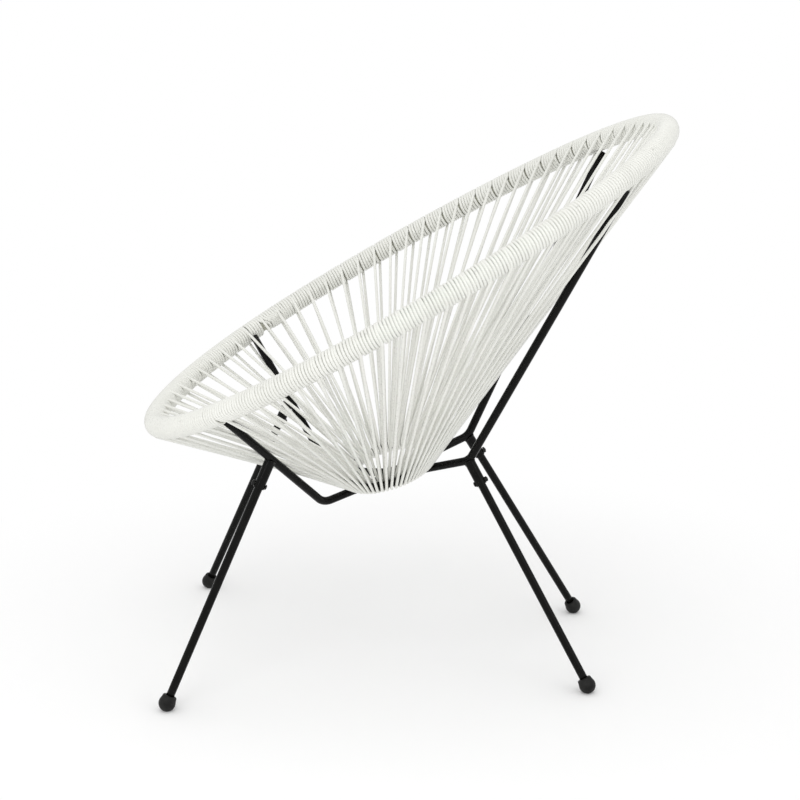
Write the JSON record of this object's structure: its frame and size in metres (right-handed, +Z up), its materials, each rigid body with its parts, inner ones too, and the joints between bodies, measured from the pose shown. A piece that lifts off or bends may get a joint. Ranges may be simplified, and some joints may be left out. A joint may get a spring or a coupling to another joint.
{
  "type": "lounge chair",
  "caption": "Outdoor string lounge chair: a tilted oval rim and a small hub ring strung with taut round cord, on bent rods and splayed bolted legs with rubber feet.",
  "frame": {"origin": "on the floor, under the middle of the chair's bounding box", "axes": "+Z up; the chair faces -Y, so its rim is lower at -Y and higher at +Y; +X is towards the side of the nodes named right; x = 0 is the mirror plane"},
  "size_m": [0.7186, 0.8148, 0.8671],
  "materials": {
    "frame": "gloss black powder coat",
    "cord": "satin white",
    "rubber": "satin black",
    "fastener": "satin black"
  },
  "bodies": {
    "root": {"rim_tube": "frame", "hub_ring": "frame", "side_rod_right": "frame", "side_rod_left": "frame", "seat_cord_run_01": "cord", "seat_cord_run_02": "cord", "seat_cord_run_03": "cord", "seat_cord_run_04": "cord", "seat_cord_run_05": "cord", "seat_cord_run_06": "cord", "seat_cord_run_07": "cord", "seat_cord_run_08": "cord", "seat_cord_run_09": "cord", "seat_cord_run_10": "cord", "seat_cord_run_11": "cord", "seat_cord_run_12": "cord", "seat_cord_run_13": "cord", "seat_cord_run_14": "cord", "seat_cord_run_15": "cord", "front_right_leg": "frame", "front_right_leg_socket": "frame", "front_right_foot": "rubber", "front_right_leg_bolt": "fastener", "front_right_leg_nut": "fastener", "rear_right_leg": "frame", "rear_right_leg_socket": "frame", "rear_right_foot": "rubber", "rear_right_leg_bolt": "fastener", "rear_right_leg_nut": "fastener", "front_left_leg": "frame", "front_left_leg_socket": "frame", "front_left_foot": "rubber", "front_left_leg_bolt": "fastener", "front_left_leg_nut": "fastener", "rear_left_leg": "frame", "rear_left_leg_socket": "frame", "rear_left_foot": "rubber", "rear_left_leg_bolt": "fastener", "rear_left_leg_nut": "fastener"}
  },
  "joints": []
}
